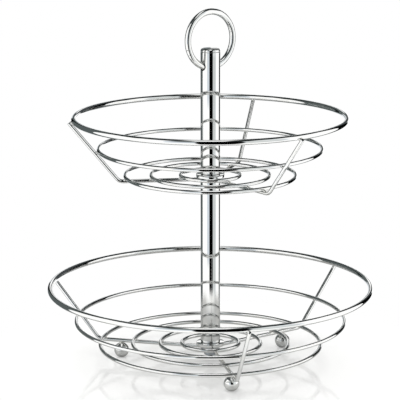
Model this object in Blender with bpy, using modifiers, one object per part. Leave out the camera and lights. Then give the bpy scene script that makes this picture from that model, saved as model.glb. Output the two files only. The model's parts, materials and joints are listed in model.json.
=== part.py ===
"""Two-tier wire fruit stand: chrome-plated steel wire baskets on a tube column with a ring handle.

Metres, +Z up. The origin is on the column's axis, on the table that the three ball feet stand on.
The viewer's side is -Y, and an azimuth is measured from +X towards +Y.
"""

import math

import bmesh
import bpy

# Wire and tube stock
RIM_WIRE_D = 0.005
BASKET_WIRE_D = 0.0035
HANDLE_WIRE_D = 0.006
TUBE_D = 0.018
TUBE_WALL = 0.001
FIT_GAP = 0.0003

# Lower basket, to the centre lines of its wires. A floor ring's share is of the bottom ring's radius.
LOWER_RIM_RADIUS = 0.1475
LOWER_BOTTOM_RADIUS = 0.102
LOWER_DEPTH = 0.0542
LOWER_MIDDLE_DROP_SHARE = 0.576
LOWER_FLOOR_INNER_SHARE = 0.26
LOWER_FLOOR_MIDDLE_SHARE = 0.456
LOWER_FLOOR_OUTER_SHARE = 0.706
LOWER_LEG_AZIMUTHS_DEG = {"front": -77.4, "right": 37.0, "left": 166.0}

# Upper basket
UPPER_RIM_RADIUS = 0.1236
UPPER_BOTTOM_RADIUS = 0.0777
UPPER_DEPTH = 0.0526
UPPER_MIDDLE_DROP_SHARE = 0.534
UPPER_FLOOR_INNER_SHARE = 0.35
UPPER_FLOOR_OUTER_SHARE = 0.695
UPPER_RIB_AZIMUTHS_DEG = {"front": -52.0, "back": 71.0, "left": 188.0}

# Legs and ribs: a straight flank outside the rings, a bend, and a level run under the floor rings
BEND_RADIUS = 0.008
BEND_PAST_BOTTOM_RING = 0.0018
LEG_PAST_RIM = 0.0018
WIRE_END_CHAMFER = 0.0004
RUN_END_TO_SCREW = 0.0015

# Ball feet, under the runs of the lower legs
FOOT_D = 0.014
FOOT_FLAT_D = 0.004
FOOT_PLACE_SHARE = 0.843

# Column and its fasteners
LOWER_TUBE_LENGTH = 0.1516
UPPER_TUBE_LENGTH = 0.1115
HUB_DISC_D = 0.026
HUB_DISC_THICKNESS = 0.003
EDGE_ROUND = 0.0005
SCREW_D = 0.006
SCREW_REACH = 0.009
SCREW_HEAD_D = 0.012
SCREW_HEAD_HEIGHT = 0.0038
SCREW_RECESS_DEPTH = 0.002
SCREW_RECESS_WIDTH = 0.0014
SCREW_RECESS_SPAN_SHARE = 0.52
WASHER_D = 0.018
WASHER_THICKNESS = 0.0015
INSERT_LENGTH = 0.014
INSERT_GROOVE_WIDTH = 0.002
INSERT_GROOVE_DEPTH = 0.0006
CAP_HEAD_HEIGHT = 0.0028
CAP_EDGE_RADIUS = 0.0022
CAP_SPIGOT_LENGTH = 0.005

# Ring handle, sprung into two holes across the upper tube
HANDLE_RADIUS = 0.0251
HANDLE_AZIMUTH_DEG = 37.0
HANDLE_END_IN_TUBE = 0.004
HANDLE_HOLE_CLEARANCE = 0.0008
HANDLE_HOLE_BELOW_TUBE_END = 0.0128

# Facets: a ring's straight facets stay within this distance of its true circle
RING_FACET_DEPTH = 0.0002
WIRE_SIDES = 8
TURNED_STEPS = 32
SMALL_TURNED_STEPS = 20
ROUND_STEPS = 2
CAP_ROUND_STEPS = 4
BEND_STEPS = 5
HANDLE_STEPS = 48
HANDLE_BEVEL_RESOLUTION = 3
WIRE_BEVEL_RESOLUTION = 2
FOOT_SEGMENTS = 16
FOOT_RINGS = 10
CUT_OVERRUN = 0.002
MERGE_DISTANCE = 0.00001

# Surface finishes: base colour, metallic, roughness
FINISHES = {
    "chrome": ((0.82, 0.83, 0.85, 1.0), 1.0, 0.06),
    "zinc": ((0.62, 0.64, 0.67, 1.0), 1.0, 0.32),
}

# Stack of heights, from the table up
FOOT_RADIUS = FOOT_D / 2
FOOT_CENTRE_HEIGHT = math.sqrt(FOOT_RADIUS ** 2 - (FOOT_FLAT_D / 2) ** 2)
WIRE_RADIUS = BASKET_WIRE_D / 2
RUN_TO_RING = BASKET_WIRE_D + FIT_GAP
RUN_TO_SEAT = WIRE_RADIUS + FIT_GAP

LOWER_RUN_HEIGHT = FOOT_CENTRE_HEIGHT + FOOT_RADIUS + FIT_GAP + WIRE_RADIUS
LOWER_DISC_BASE = LOWER_RUN_HEIGHT + RUN_TO_SEAT
LOWER_TUBE_BASE = LOWER_DISC_BASE + HUB_DISC_THICKNESS + FIT_GAP
LOWER_TUBE_TOP = LOWER_TUBE_BASE + LOWER_TUBE_LENGTH
UPPER_RUN_HEIGHT = LOWER_TUBE_TOP + RUN_TO_SEAT
UPPER_DISC_BASE = UPPER_RUN_HEIGHT + RUN_TO_SEAT
UPPER_TUBE_BASE = UPPER_DISC_BASE + HUB_DISC_THICKNESS + FIT_GAP
UPPER_TUBE_TOP = UPPER_TUBE_BASE + UPPER_TUBE_LENGTH
CAP_BASE = UPPER_TUBE_TOP + FIT_GAP

# Radii that fit in one another
TUBE_RADIUS = TUBE_D / 2
TUBE_BORE_RADIUS = TUBE_RADIUS - TUBE_WALL
INSERT_RADIUS = TUBE_BORE_RADIUS - FIT_GAP
SCREW_RADIUS = SCREW_D / 2
SCREW_HOLE_RADIUS = SCREW_RADIUS + FIT_GAP
RUN_END_RADIUS = SCREW_RADIUS + RUN_END_TO_SCREW

# The handle swings about the line through both holes, where its wire crosses the tube's bore
HANDLE_HOLE_HEIGHT = UPPER_TUBE_TOP - HANDLE_HOLE_BELOW_TUBE_END
HANDLE_HOLE_RADIUS = HANDLE_WIRE_D / 2 + HANDLE_HOLE_CLEARANCE
HANDLE_CENTRE_ABOVE_HOLE = math.sqrt(HANDLE_RADIUS ** 2 - TUBE_BORE_RADIUS ** 2)


def clear_scene():
    """Remove every object of the open file."""
    for obj in list(bpy.data.objects):
        bpy.data.objects.remove(obj, do_unlink=True)


def make_collection(name):
    collection = bpy.data.collections.new(name)
    bpy.context.scene.collection.children.link(collection)
    return collection


def give_finish(obj, finish):
    """Give an object a material of its own in one of the finishes."""
    colour, metallic, roughness = FINISHES[finish]
    material = bpy.data.materials.new(obj.name + "_" + finish)
    material.use_nodes = True
    shader = material.node_tree.nodes["Principled BSDF"]
    shader.inputs["Base Color"].default_value = colour
    shader.inputs["Metallic"].default_value = metallic
    shader.inputs["Roughness"].default_value = roughness
    obj.data.materials.append(material)


def add_part(name, data, finish="chrome"):
    obj = bpy.data.objects.new(name, data)
    PARTS.objects.link(obj)
    give_finish(obj, finish)
    return obj


def arc(centre, radius, start_deg, end_deg, steps):
    """Points of a circular arc in the (radius, height) plane, both ends included."""
    points = []
    for i in range(steps + 1):
        angle = math.radians(start_deg + (end_deg - start_deg) * i / steps)
        points.append((centre[0] + radius * math.cos(angle), centre[1] + radius * math.sin(angle)))
    return points


def ring_segments(radius):
    """Number of facets, a multiple of four, that keeps a ring within its facet depth."""
    half_facet = math.acos(1 - RING_FACET_DEPTH / radius)
    return 4 * math.ceil(math.pi / (4 * half_facet))


def add_ring(name, radius, height, wire_d):
    """A closed hoop of round wire."""
    bpy.ops.mesh.primitive_torus_add(
        major_radius=radius, minor_radius=wire_d / 2, location=(0, 0, height),
        major_segments=ring_segments(radius), minor_segments=WIRE_SIDES)
    obj = bpy.context.object
    obj.name = name
    obj.data.name = name
    for collection in list(obj.users_collection):
        collection.objects.unlink(obj)
    PARTS.objects.link(obj)
    obj.data.shade_smooth()
    give_finish(obj, "chrome")
    return obj


def add_wire(name, points, wire_d, resolution, azimuth_deg, height=0):
    """A bent wire in the vertical plane at an azimuth, with its two ends chamfered."""
    curve = bpy.data.curves.new(name, "CURVE")
    curve.dimensions = "3D"
    curve.bevel_depth = wire_d / 2
    curve.bevel_resolution = resolution
    curve.use_fill_caps = True
    points = chamfer_stations(points)
    spline = curve.splines.new("POLY")
    spline.points.add(len(points) - 1)
    for point, (radius, z) in zip(spline.points, points):
        point.co = (radius, 0, z, 1)
    end_share = 1 - WIRE_END_CHAMFER / (wire_d / 2)
    spline.points[0].radius = end_share
    spline.points[-1].radius = end_share
    spline.use_smooth = True
    obj = add_part(name, curve)
    obj.location = (0, 0, height)
    obj.rotation_euler = (0, 0, math.radians(azimuth_deg))
    return obj


def chamfer_stations(points):
    """Add a point one chamfer in from each end of a path."""
    def inset(end, following):
        reach = math.dist(end, following)
        share = WIRE_END_CHAMFER / reach
        return (end[0] + (following[0] - end[0]) * share, end[1] + (following[1] - end[1]) * share)

    return [points[0], inset(points[0], points[1])] + points[1:-1] + [inset(points[-1], points[-2]), points[-1]]


def add_turned(name, profile, height, steps, finish="chrome"):
    """A body of revolution from (radius, height) points that run down its outer side."""
    mesh = bpy.data.meshes.new(name)
    closed = profile[0][0] > 0
    edges = [(i, i + 1) for i in range(len(profile) - 1)]
    if closed:
        edges.append((len(profile) - 1, 0))
    mesh.from_pydata([(radius, 0, z) for radius, z in profile], edges, [])
    obj = add_part(name, mesh, finish)
    obj.location = (0, 0, height)
    screw = obj.modifiers.new("turn", "SCREW")
    screw.axis = "Z"
    screw.steps = steps
    screw.render_steps = steps
    screw.use_merge_vertices = True
    screw.merge_threshold = MERGE_DISTANCE
    screw.use_smooth_shade = True
    return obj


def add_cutter(name, height, make):
    """A hidden cutting body, made by a bmesh function."""
    mesh = bpy.data.meshes.new(name)
    shape = bmesh.new()
    make(shape)
    shape.to_mesh(mesh)
    shape.free()
    obj = bpy.data.objects.new(name, mesh)
    obj.location = (0, 0, height)
    obj.hide_render = True
    obj.display_type = "WIRE"
    CUTTERS.objects.link(obj)
    return obj


def cut(obj, cutter):
    boolean = obj.modifiers.new(cutter.name, "BOOLEAN")
    boolean.operation = "DIFFERENCE"
    boolean.solver = "EXACT"
    boolean.object = cutter


def flank_of(rim_radius, bottom_radius, depth):
    """Lean and offset of the straight leg line that touches the bend and the outside of the rim.

    Heights are from the level run. The line holds the points p with normal . p = offset.
    """
    bend_centre = (bottom_radius + BEND_PAST_BOTTOM_RING, BEND_RADIUS)
    rim_centre = (rim_radius, RUN_TO_RING + depth)
    rim_stand_off = (RIM_WIRE_D + BASKET_WIRE_D) / 2 + FIT_GAP
    span = math.dist(bend_centre, rim_centre)
    climb = math.atan2(rim_centre[1] - bend_centre[1], rim_centre[0] - bend_centre[0])
    lean = climb + math.asin((BEND_RADIUS - rim_stand_off) / span)
    normal = (math.sin(lean), -math.cos(lean))
    offset = normal[0] * rim_centre[0] + normal[1] * rim_centre[1] + rim_stand_off
    return lean, normal, offset


def leg_points(rim_radius, bottom_radius, depth):
    """Centre line of a leg, heights from its level run: run, bend, straight flank up to the rim."""
    lean, normal, offset = flank_of(rim_radius, bottom_radius, depth)
    bend_centre = (bottom_radius + BEND_PAST_BOTTOM_RING, BEND_RADIUS)
    bend = arc(bend_centre, BEND_RADIUS, -90, math.degrees(lean) - 90, BEND_STEPS)
    along_line = math.cos(lean) * rim_radius + math.sin(lean) * (RUN_TO_RING + depth) + LEG_PAST_RIM
    top = (offset * normal[0] + along_line * math.cos(lean), offset * normal[1] + along_line * math.sin(lean))
    return [(RUN_END_RADIUS, 0.0)] + bend + [top]


def middle_ring_place(rim_radius, bottom_radius, depth, drop_share):
    """Radius and height above the run of the ring that lies against the inside of the straight flanks."""
    lean, normal, offset = flank_of(rim_radius, bottom_radius, depth)
    height = RUN_TO_RING + depth * (1 - drop_share)
    radius = (offset - RUN_TO_RING - normal[1] * height) / normal[0]
    return radius, height


def add_basket(tier, run_height, rim_radius, bottom_radius, depth, drop_share, floor_shares, legs, leg_word):
    """Rings, legs and hub disc of one basket."""
    floor_height = run_height + RUN_TO_RING
    middle_radius, middle_height = middle_ring_place(rim_radius, bottom_radius, depth, drop_share)
    add_ring(tier + "_rim_ring", rim_radius, floor_height + depth, RIM_WIRE_D)
    add_ring(tier + "_middle_ring", middle_radius, run_height + middle_height, BASKET_WIRE_D)
    add_ring(tier + "_bottom_ring", bottom_radius, floor_height, BASKET_WIRE_D)
    for place, share in floor_shares.items():
        add_ring(tier + "_floor_ring_" + place, bottom_radius * share, floor_height, BASKET_WIRE_D)
    path = leg_points(rim_radius, bottom_radius, depth)
    for place, azimuth in legs.items():
        add_wire(tier + "_" + leg_word + "_" + place, path, BASKET_WIRE_D, WIRE_BEVEL_RESOLUTION, azimuth,
                 run_height)
    add_hub_disc(tier + "_hub_disc", run_height + RUN_TO_SEAT)


def rounded_ring_profile(inner, outer, height, edge):
    """Cross-section of a flat ring whose two outer edges are rounded, from its upper inner edge round."""
    upper = arc((outer - edge, height - edge), edge, 90, 0, ROUND_STEPS)
    lower = arc((outer - edge, edge), edge, 0, -90, ROUND_STEPS)
    return [(inner, height)] + upper + lower + [(inner, 0)]


def add_hub_disc(name, height):
    """Disc that is welded on the inner ends of a basket's legs and clamped under a tube."""
    profile = rounded_ring_profile(SCREW_HOLE_RADIUS, HUB_DISC_D / 2, HUB_DISC_THICKNESS, EDGE_ROUND)
    add_turned(name, profile, height, TURNED_STEPS)


def add_ball_feet():
    """Balls under the level runs of the lower legs, each with a small flat to stand on."""
    reach = LOWER_BOTTOM_RADIUS * FOOT_PLACE_SHARE
    for place, azimuth in LOWER_LEG_AZIMUTHS_DEG.items():
        name = "ball_foot_" + place
        mesh = bpy.data.meshes.new(name)
        ball = bmesh.new()
        bmesh.ops.create_uvsphere(ball, u_segments=FOOT_SEGMENTS, v_segments=FOOT_RINGS, radius=FOOT_RADIUS)
        whole = ball.verts[:] + ball.edges[:] + ball.faces[:]
        sliced = bmesh.ops.bisect_plane(
            ball, geom=whole, plane_co=(0, 0, -FOOT_CENTRE_HEIGHT), plane_no=(0, 0, -1), clear_outer=True)
        rim = [item for item in sliced["geom_cut"] if isinstance(item, bmesh.types.BMEdge)]
        bmesh.ops.holes_fill(ball, edges=rim, sides=0)
        bmesh.ops.recalc_face_normals(ball, faces=ball.faces[:])
        ball.to_mesh(mesh)
        ball.free()
        mesh.shade_smooth()
        foot = add_part(name, mesh)
        angle = math.radians(azimuth)
        foot.location = (reach * math.cos(angle), reach * math.sin(angle), FOOT_CENTRE_HEIGHT)
        foot.rotation_euler = (0, 0, angle)


def tube_profile(length):
    return [(TUBE_BORE_RADIUS, length), (TUBE_RADIUS, length), (TUBE_RADIUS, 0), (TUBE_BORE_RADIUS, 0)]


def add_tubes():
    """The two column tubes, the upper one with the handle's holes across it."""
    add_turned("lower_tube", tube_profile(LOWER_TUBE_LENGTH), LOWER_TUBE_BASE, TURNED_STEPS)
    upper = add_turned("upper_tube", tube_profile(UPPER_TUBE_LENGTH), UPPER_TUBE_BASE, TURNED_STEPS)

    def cross_hole(shape):
        bmesh.ops.create_cone(
            shape, cap_ends=True, segments=TURNED_STEPS, radius1=HANDLE_HOLE_RADIUS, radius2=HANDLE_HOLE_RADIUS,
            depth=TUBE_D + CUT_OVERRUN * 2)

    drill = add_cutter("handle_hole_drill", HANDLE_HOLE_HEIGHT, cross_hole)
    drill.rotation_euler = (0, math.radians(90), math.radians(HANDLE_AZIMUTH_DEG))
    cut(upper, drill)


def add_top_cap():
    """Stamped cap: a head as wide as the tube with a rounded edge, and a hollow spigot in the bore."""
    head_top = CAP_HEAD_HEIGHT
    spigot_bore = INSERT_RADIUS - TUBE_WALL
    edge_centre = (TUBE_RADIUS - CAP_EDGE_RADIUS, head_top - CAP_EDGE_RADIUS)
    edge = arc(edge_centre, CAP_EDGE_RADIUS, 90, 0, CAP_ROUND_STEPS)
    profile = [(0, head_top)] + edge + [
        (TUBE_RADIUS, 0),
        (INSERT_RADIUS, 0),
        (INSERT_RADIUS, -CAP_SPIGOT_LENGTH),
        (spigot_bore, -CAP_SPIGOT_LENGTH),
        (spigot_bore, head_top - TUBE_WALL),
        (0, head_top - TUBE_WALL),
    ]
    add_turned("tube_top_cap", profile, CAP_BASE, TURNED_STEPS)


def add_insert(name, height):
    """Steel insert pressed into a tube's end, tapped through, with a relief groove round its middle."""
    groove_top = (INSERT_LENGTH + INSERT_GROOVE_WIDTH) / 2
    groove_base = (INSERT_LENGTH - INSERT_GROOVE_WIDTH) / 2
    groove_radius = INSERT_RADIUS - INSERT_GROOVE_DEPTH
    profile = [
        (SCREW_HOLE_RADIUS, INSERT_LENGTH),
        (INSERT_RADIUS, INSERT_LENGTH),
        (INSERT_RADIUS, groove_top),
        (groove_radius, groove_top),
        (groove_radius, groove_base),
        (INSERT_RADIUS, groove_base),
        (INSERT_RADIUS, 0),
        (SCREW_HOLE_RADIUS, 0),
    ]
    add_turned(name, profile, height, SMALL_TURNED_STEPS, "zinc")


def add_joining_stud():
    """Threaded rod that joins the two tubes through the upper basket's hub."""
    base = LOWER_TUBE_TOP - SCREW_REACH
    length = UPPER_TUBE_BASE + SCREW_REACH - base
    tip = SCREW_RADIUS - EDGE_ROUND
    profile = [(0, length), (tip, length), (SCREW_RADIUS, length - EDGE_ROUND), (SCREW_RADIUS, EDGE_ROUND),
               (tip, 0), (0, 0)]
    add_turned("joining_stud", profile, base, SMALL_TURNED_STEPS, "zinc")


def add_base_screw():
    """Cross-recessed screw and washer that clamp the lower basket under the lower tube."""
    washer_top = LOWER_RUN_HEIGHT - RUN_TO_SEAT
    washer_base = washer_top - WASHER_THICKNESS
    head_top = washer_base - FIT_GAP
    head_base = head_top - SCREW_HEAD_HEIGHT
    washer = rounded_ring_profile(SCREW_HOLE_RADIUS, WASHER_D / 2, WASHER_THICKNESS, EDGE_ROUND)
    add_turned("base_washer", washer, washer_base, SMALL_TURNED_STEPS, "zinc")

    shank_top = LOWER_TUBE_BASE + SCREW_REACH - head_base
    tip = SCREW_RADIUS - EDGE_ROUND
    head_radius = SCREW_HEAD_D / 2
    dome = SCREW_HEAD_HEIGHT / 2
    profile = [(0, shank_top), (tip, shank_top), (SCREW_RADIUS, shank_top - EDGE_ROUND),
               (SCREW_RADIUS, SCREW_HEAD_HEIGHT), (head_radius, SCREW_HEAD_HEIGHT)]
    profile += arc((head_radius - dome, dome), dome, 0, -90, ROUND_STEPS)
    profile += [(0, 0)]
    screw = add_turned("base_screw", profile, head_base, SMALL_TURNED_STEPS, "zinc")

    slot_length = SCREW_HEAD_D * SCREW_RECESS_SPAN_SHARE

    def slot(shape):
        bmesh.ops.create_cube(shape, size=1)
        bmesh.ops.scale(shape, vec=(slot_length, SCREW_RECESS_WIDTH, SCREW_RECESS_DEPTH * 2), verts=shape.verts[:])

    for turn in (0, 90):
        cutter = add_cutter(f"recess_{turn}", head_base, slot)
        cutter.rotation_euler = (0, 0, math.radians(turn))
        cut(screw, cutter)


def add_ring_handle():
    """Open hoop whose two ends follow its circle into the tube's holes; its origin is on the swing axis."""
    end_reach = TUBE_BORE_RADIUS - HANDLE_END_IN_TUBE
    gap_half_angle = math.degrees(math.asin(end_reach / HANDLE_RADIUS))
    points = arc((0, HANDLE_CENTRE_ABOVE_HOLE), HANDLE_RADIUS, gap_half_angle - 90, 270 - gap_half_angle,
                 HANDLE_STEPS)
    add_wire("ring_handle", points, HANDLE_WIRE_D, HANDLE_BEVEL_RESOLUTION, HANDLE_AZIMUTH_DEG,
             HANDLE_HOLE_HEIGHT)


def build():
    lower_floor = {"inner": LOWER_FLOOR_INNER_SHARE, "middle": LOWER_FLOOR_MIDDLE_SHARE,
                   "outer": LOWER_FLOOR_OUTER_SHARE}
    add_basket("lower", LOWER_RUN_HEIGHT, LOWER_RIM_RADIUS, LOWER_BOTTOM_RADIUS, LOWER_DEPTH,
               LOWER_MIDDLE_DROP_SHARE, lower_floor, LOWER_LEG_AZIMUTHS_DEG, "leg")
    upper_floor = {"inner": UPPER_FLOOR_INNER_SHARE, "outer": UPPER_FLOOR_OUTER_SHARE}
    add_basket("upper", UPPER_RUN_HEIGHT, UPPER_RIM_RADIUS, UPPER_BOTTOM_RADIUS, UPPER_DEPTH,
               UPPER_MIDDLE_DROP_SHARE, upper_floor, UPPER_RIB_AZIMUTHS_DEG, "rib")
    add_ball_feet()
    add_tubes()
    add_top_cap()
    add_insert("lower_tube_base_insert", LOWER_TUBE_BASE)
    add_insert("lower_tube_top_insert", LOWER_TUBE_TOP - INSERT_LENGTH)
    add_insert("upper_tube_base_insert", UPPER_TUBE_BASE)
    add_joining_stud()
    add_base_screw()
    add_ring_handle()


clear_scene()
PARTS = make_collection("wire_fruit_stand")
CUTTERS = make_collection("cutters")
build()
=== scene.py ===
"""Looks of a two-tier wire fruit stand in bright chrome plate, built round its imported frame.

Metres, +Z up, in the frame's own axes. An azimuth is measured from +X towards +Y, and the viewer's
side is -Y.
"""

import json
import math

import bmesh
import bpy
from bpy.props import FloatProperty, FloatVectorProperty, IntProperty, PointerProperty
from mathutils import Matrix, Vector, noise


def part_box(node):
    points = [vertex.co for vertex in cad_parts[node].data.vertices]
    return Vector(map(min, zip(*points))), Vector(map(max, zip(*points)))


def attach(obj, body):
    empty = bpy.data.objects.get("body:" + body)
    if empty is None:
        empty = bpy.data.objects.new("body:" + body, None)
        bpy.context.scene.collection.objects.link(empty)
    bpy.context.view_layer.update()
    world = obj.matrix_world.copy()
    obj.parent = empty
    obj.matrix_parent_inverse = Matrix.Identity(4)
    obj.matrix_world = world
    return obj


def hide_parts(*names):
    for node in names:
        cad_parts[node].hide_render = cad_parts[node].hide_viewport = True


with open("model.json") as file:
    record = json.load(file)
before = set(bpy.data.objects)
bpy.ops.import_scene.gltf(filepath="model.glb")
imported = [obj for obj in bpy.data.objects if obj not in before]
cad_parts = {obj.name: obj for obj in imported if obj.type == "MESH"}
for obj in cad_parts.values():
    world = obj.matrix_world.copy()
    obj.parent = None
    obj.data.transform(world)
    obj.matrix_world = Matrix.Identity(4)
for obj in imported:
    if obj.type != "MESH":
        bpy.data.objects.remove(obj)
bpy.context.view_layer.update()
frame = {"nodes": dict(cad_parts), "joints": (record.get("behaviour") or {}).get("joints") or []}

bl_info = {
    "name": "Wire fruit stand",
    "version": (1, 0, 0),
    "blender": (4, 5, 0),
    "location": "View3D > Sidebar > Fruit stand",
    "description": "Plated wire baskets, tube column, ring handle and studio of a fruit stand",
    "category": "Object",
}

NODES = frame["nodes"]
HINGE = frame["joints"][0]
STAND = "stand"
HANDLE = "handle"
TIERS = ("lower", "upper")

SMOOTH_BELOW = math.radians(35)  # faces that meet at less than this are shaded as one surface
ROUND_ABOVE = math.radians(50)  # edges sharper than this are rounded
ROUND_STEPS = 3
CORNER_STEPS = 24
HOLE_STEPS = 64
BALL_STEPS = (64, 40)
TABLE_STEPS = 128
MERGE_DISTANCE = 0.000001
SENSOR_MM = 36

HAZE_SPREAD = (0.35, 0.75)  # noise values where the plate's shine is sharpest and softest
HAZE_ROUGHNESS = (0.7, 1.8)  # roughness there, as shares of the plate's own
CAST_SPREAD = (0.3, 0.7)  # noise values of the full blue and the full straw cast
SWELL_WAVES = 1.7  # waves of a weld's unevenness over its half size
SWELL_APART = 900  # shift of that pattern from weld to weld, per metre


def linear(code):
    """Linear colour of an sRGB hex code such as #D8DADC."""
    channels = [int(code[i:i + 2], 16) / 255 for i in (1, 3, 5)]
    return tuple(c / 12.92 if c <= 0.04045 else ((c + 0.055) / 1.055) ** 2.4 for c in channels)


def opaque(colour):
    return (*colour, 1.0)


def length_prop(name, text, metres):
    return FloatProperty(name=name, description=text, default=metres, min=0, unit="LENGTH",
                         precision=5)


def place_prop(name, text, metres):
    return FloatVectorProperty(name=name, description=text, default=metres, subtype="TRANSLATION")


def extent_prop(name, text, metres):
    return FloatVectorProperty(name=name, description=text, default=metres, min=0, subtype="XYZ",
                               unit="LENGTH", precision=5)


def colour_prop(name, text, code):
    return FloatVectorProperty(name=name, description=text, subtype="COLOR", size=3, min=0, max=1,
                               default=linear(code))


def angle_prop(name, text, radians):
    return FloatProperty(name=name, description=text, default=radians, subtype="ANGLE")


def share_prop(name, text, value):
    return FloatProperty(name=name, description=text, default=value, min=0, soft_max=1)


class WireSizes(bpy.types.PropertyGroup):
    """Sizes of the wirework that the frame's boxes don't give."""
    bend_radius: length_prop("Bend radius", "Centre line radius of the bend at a leg's foot", 0.008)
    bend_past_ring: length_prop("Bend offset", "From the bottom ring out to the bend's centre", 0.0018)
    end_past_rim: length_prop("End past rim", "How far a leg runs on past the rim", 0.0018)
    run_past_screw: length_prop("Run's end", "From the screw out to a level run's inner end", 0.0015)
    end_round: length_prop("End rounding", "Rounded edge of a cut wire end", 0.0004)
    gap: length_prop("Weld gap", "Gap between two wires that a weld bridges", 0.0003)
    foot: length_prop("Ball foot", "Diameter of a ball foot", 0.014)
    ring_steps: IntProperty(name="Ring steps", description="Steps round a ring", default=240, min=24)
    section_sides: IntProperty(name="Wire sides", description="Sides of a wire's section",
                               default=24, min=8)
    bend_steps: IntProperty(name="Bend steps", description="Steps in a leg's bend", default=14, min=3)


class WeldSizes(bpy.types.PropertyGroup):
    """Sizes of the weld metal. Half sizes are along a leg, across it and away from it."""
    ring_share: share_prop("Of the ring", "Share of a ring wire's radius in its weld's reach", 0.55)
    leg_share: share_prop("Of the leg", "Share of a leg wire's radius in that weld's reach", 0.3)
    flatness: share_prop("Flatness", "That weld's half thickness as a share of its reach", 0.62)
    disc: extent_prop("At a disc", "Half sizes under a hub disc", (0.0034, 0.0015, 0.0007))
    ball: extent_prop("At a ball", "Half sizes over a ball foot", (0.0021, 0.0015, 0.0006))
    swell: share_prop("Unevenness", "How far the surface strays, as a share of the half sizes", 0.12)


class ColumnSizes(bpy.types.PropertyGroup):
    """Sizes of the column and its handle."""
    wall: length_prop("Tube wall", "Wall of both tubes", 0.001)
    hole_diameter: length_prop("Handle hole", "Diameter of the hole across the upper tube", 0.0076)
    hole_below_end: length_prop("Hole depth", "From the tube's end down to the hole's axis", 0.0128)
    edge_round: length_prop("Edge rounding", "Deburred edges of tubes, discs and washer", 0.0003)
    small_round: length_prop("Small rounding", "Edges of the handle's hole and the screw", 0.00015)
    cap_seam: length_prop("Cap seam", "Rounding of the cap's other edges", 0.0001)
    cap_edge: length_prop("Cap edge", "Rounded edge of the top cap", 0.0022)
    cap_spigot: length_prop("Cap spigot", "Length of the cap's spigot in the tube", 0.005)
    screw_hole: length_prop("Screw hole", "Diameter of the hub discs' and washer's hole", 0.0066)
    screw: length_prop("Screw", "Diameter of the base screw's shank", 0.006)
    screw_head: length_prop("Screw head", "Height of the base screw's pan head", 0.0038)
    recess_span: length_prop("Recess span", "Length of each slot of the cross recess", 0.00624)
    recess_width: length_prop("Recess width", "Width of each slot of the cross recess", 0.0014)
    recess_depth: length_prop("Recess depth", "Depth of the cross recess", 0.002)
    handle_radius: length_prop("Ring radius", "Centre line radius of the ring handle", 0.0251)
    handle_end: length_prop("Ring end", "How far the ring's ends reach past the tube's wall", 0.004)
    handle_sides: IntProperty(name="Handle sides", description="Sides of the ring's section",
                              default=32, min=8)
    turned_steps: IntProperty(name="Turned steps", description="Steps round a turned piece",
                              default=160, min=24)


class Finishes(bpy.types.PropertyGroup):
    """Colours and surface of the metals."""
    chrome: colour_prop("Chrome", "Bright chrome plate, a cool silver", "#E8EAEC")
    chrome_shade: colour_prop("Chrome in thin plate", "A little warmer, as the nickel shows through",
                              "#E2E1DC")
    chrome_roughness: share_prop("Chrome roughness", "Polished and plated: nearly a mirror", 0.035)
    ripple_length: length_prop("Ripple", "Length of the faint waves that straightening leaves", 0.014)
    ripple_height: length_prop("Ripple height", "Height of those waves", 0.00002)
    drawn_line: length_prop("Drawn lines", "Spacing of the lines along a drawn tube", 0.0012)
    drawn_depth: length_prop("Drawn depth", "Depth of those lines", 0.000003)
    drawn_stretch: share_prop("Drawn stretch", "Spacing across them to that along them", 0.02)
    haze: length_prop("Haze", "Size of the wiped patches in the plate's shine", 0.018)
    pebble: length_prop("Pebble", "Size of the spatter's pebbles on a weld", 0.00055556)
    pebble_height: length_prop("Pebble height", "Height of those pebbles", 0.0001)
    pebble_relief: share_prop("Pebble relief", "How much of that relief shows", 0.6)
    weld_smooth: share_prop("Weld roughness", "Roughness between the pebbles", 0.07)
    weld_rough: share_prop("Pebble roughness", "Roughness on the pebbles", 0.22)
    zinc: colour_prop("Zinc", "Bright zinc plate on fasteners", "#B4BAC2")
    zinc_blue: colour_prop("Blue cast", "Where the passivation is thin", "#A9B2BE")
    zinc_straw: colour_prop("Straw cast", "Where the passivation is thick", "#C2C1B6")
    zinc_cast: share_prop("Cast", "Share of both casts over the plain zinc", 0.5)
    zinc_patch: length_prop("Zinc patches", "Size of the patches of either cast", 0.003125)
    zinc_roughness: share_prop("Zinc roughness", "Barrel-plated: a satin shine", 0.34)
    zinc_uneven: share_prop("Uneven shine", "How far that roughness varies, as a share of it", 0.2)
    zinc_grain: length_prop("Zinc grain", "Size of the plate's grain", 0.00016667)
    zinc_grain_height: length_prop("Grain height", "Height of that grain", 0.00005)
    zinc_relief: share_prop("Grain relief", "How much of that relief shows", 0.3)


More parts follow.
